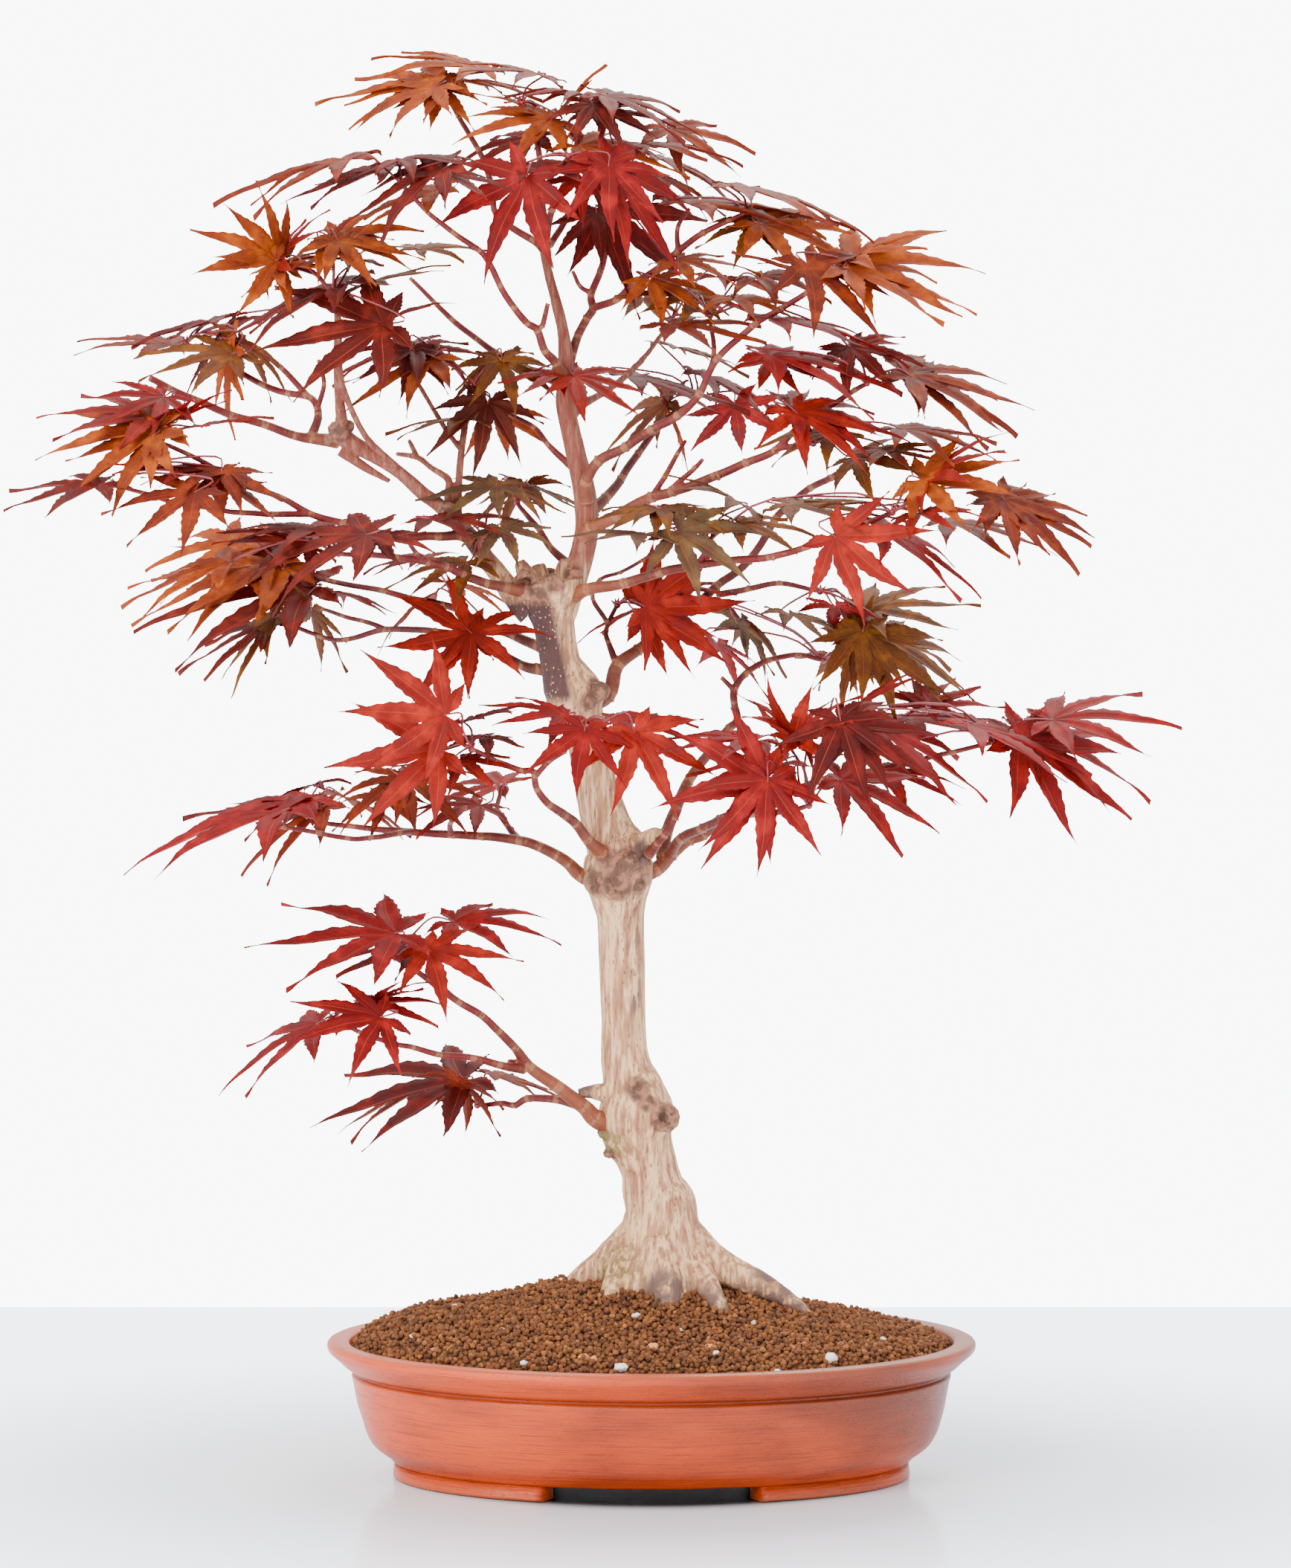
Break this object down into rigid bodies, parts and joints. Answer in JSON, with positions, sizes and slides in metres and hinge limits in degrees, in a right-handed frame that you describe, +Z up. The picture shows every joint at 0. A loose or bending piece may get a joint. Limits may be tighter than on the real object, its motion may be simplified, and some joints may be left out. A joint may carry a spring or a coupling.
{
  "type": "bonsai tree in a pot",
  "caption": "Small maple bonsai with a tapering trunk and a long side limb, growing in an oval unglazed clay pot on two low feet.",
  "frame": {"origin": "middle of the box's bottom face, on the surface the pot stands on", "axes": "+Z up along the tree, +X to the right along the pot's length, the tree's front faces -Y"},
  "size_m": [0.6548, 0.3388, 0.85],
  "materials": {
    "pot_clay": "unglazed burnished terracotta, satin, with turning lines",
    "soil_grains": "moist granular clay, matte",
    "screen_plastic": "black plastic mesh",
    "trunk_bark": "pale smooth maple bark with streaks and scars",
    "twig_bark": "young crimson-brown bark, slight sheen",
    "leaf_blade": "thin autumn leaf, satin, crimson to orange"
  },
  "bodies": {
    "root": {"branch_apex": "twig_bark", "branch_leader_left": "twig_bark", "branch_left_back": "twig_bark", "branch_left_back_low": "twig_bark", "branch_left_first": "twig_bark", "branch_left_front": "twig_bark", "branch_left_middle": "twig_bark", "branch_limb_low": "twig_bark", "branch_limb_tip": "twig_bark", "branch_low_left": "twig_bark", "branch_right_back": "twig_bark", "branch_right_high": "twig_bark", "branch_right_long": "twig_bark", "branch_right_long_back": "twig_bark", "branch_right_low": "twig_bark", "branch_right_middle": "twig_bark", "branch_second_leader": "twig_bark", "branch_top_left": "twig_bark", "drainage_screen_left": "screen_plastic", "drainage_screen_right": "screen_plastic", "leaves_apex": "leaf_blade", "leaves_apex_front": "leaf_blade", "leaves_apex_right": "leaf_blade", "leaves_leader_left": "leaf_blade", "leaves_left_back_inner": "leaf_blade", "leaves_left_back_low_tip": "leaf_blade", "leaves_left_back_tip": "leaf_blade", "leaves_left_first_inner": "leaf_blade", "leaves_left_first_low": "leaf_blade", "leaves_left_first_tip": "leaf_blade", "leaves_left_front_tip": "leaf_blade", "leaves_left_front_trunk": "leaf_blade", "leaves_left_middle": "leaf_blade", "leaves_limb_low_tip": "leaf_blade", "leaves_limb_low_upper": "leaf_blade", "leaves_limb_spur_inner": "leaf_blade", "leaves_limb_spur_top": "leaf_blade", "leaves_limb_tip": "leaf_blade", "leaves_low_left_back": "leaf_blade", "leaves_low_left_tip": "leaf_blade", "leaves_low_left_upper": "leaf_blade", "leaves_right_back": "leaf_blade", "leaves_right_high_inner": "leaf_blade", "leaves_right_high_tip": "leaf_blade", "leaves_right_long_back_inner": "leaf_blade", "leaves_right_long_back_low": "leaf_blade", "leaves_right_long_inner": "leaf_blade", "leaves_right_long_tip": "leaf_blade", "leaves_right_low_back": "leaf_blade", "leaves_right_low_front": "leaf_blade", "leaves_right_low_tip": "leaf_blade", "leaves_right_middle_inner": "leaf_blade", "leaves_right_middle_tip": "leaf_blade", "leaves_right_top": "leaf_blade", "leaves_second_leader": "leaf_blade", "leaves_top_left": "leaf_blade", "left_limb": "trunk_bark", "pot": "pot_clay", "soil": "soil_grains", "trunk": "trunk_bark"}
  },
  "joints": []
}
